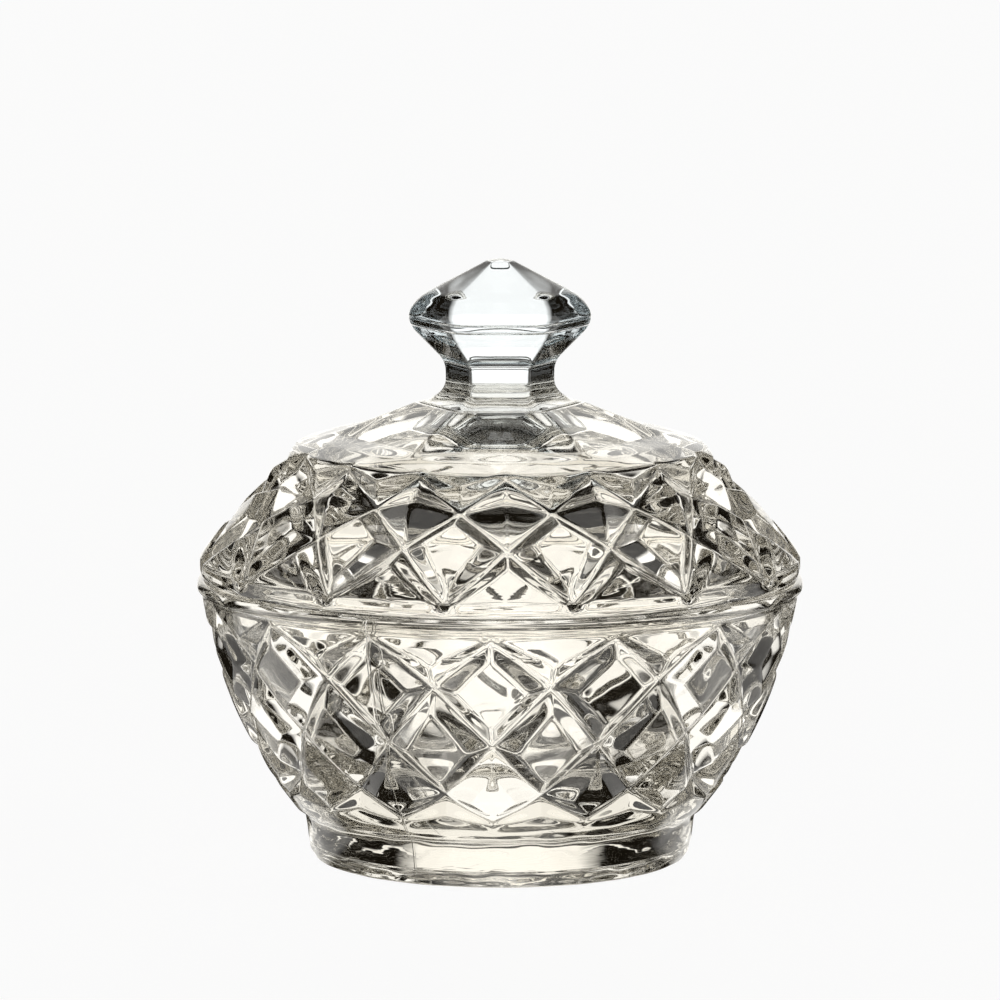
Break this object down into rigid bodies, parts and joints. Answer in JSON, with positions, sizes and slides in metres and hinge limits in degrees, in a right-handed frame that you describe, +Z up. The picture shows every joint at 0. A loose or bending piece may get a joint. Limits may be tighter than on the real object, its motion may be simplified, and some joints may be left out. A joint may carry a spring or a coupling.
{
  "type": "powder jar",
  "caption": "Round footed glass powder jar with mitre-cut diamonds, a domed lift-off lid with a locating ring, and a six-sided faceted knob.",
  "frame": {"origin": "centre of the foot ring on the table it stands on", "axes": "+Z up along the axis of the bowl, lid and knob; the front of the picture faces -Y; +X to the right"},
  "size_m": [0.1152, 0.1152, 0.1142],
  "materials": {
    "bowl_glass": "fire-polished clear lead crystal, faintly warm",
    "lid_glass": "fire-polished clear lead crystal, faintly warm",
    "knob_glass": "fire-polished clear lead crystal, faintly cool"
  },
  "bodies": {
    "bowl_body": {"bowl": "bowl_glass"},
    "lid_body": {"lid": "lid_glass", "knob": "knob_glass"}
  },
  "joints": [
    {"name": "lid_lift", "type": "slide", "parent": "bowl_body", "child": "lid_body", "axis": [0, 0, 1], "range_m": [0, 0.07]}
  ]
}
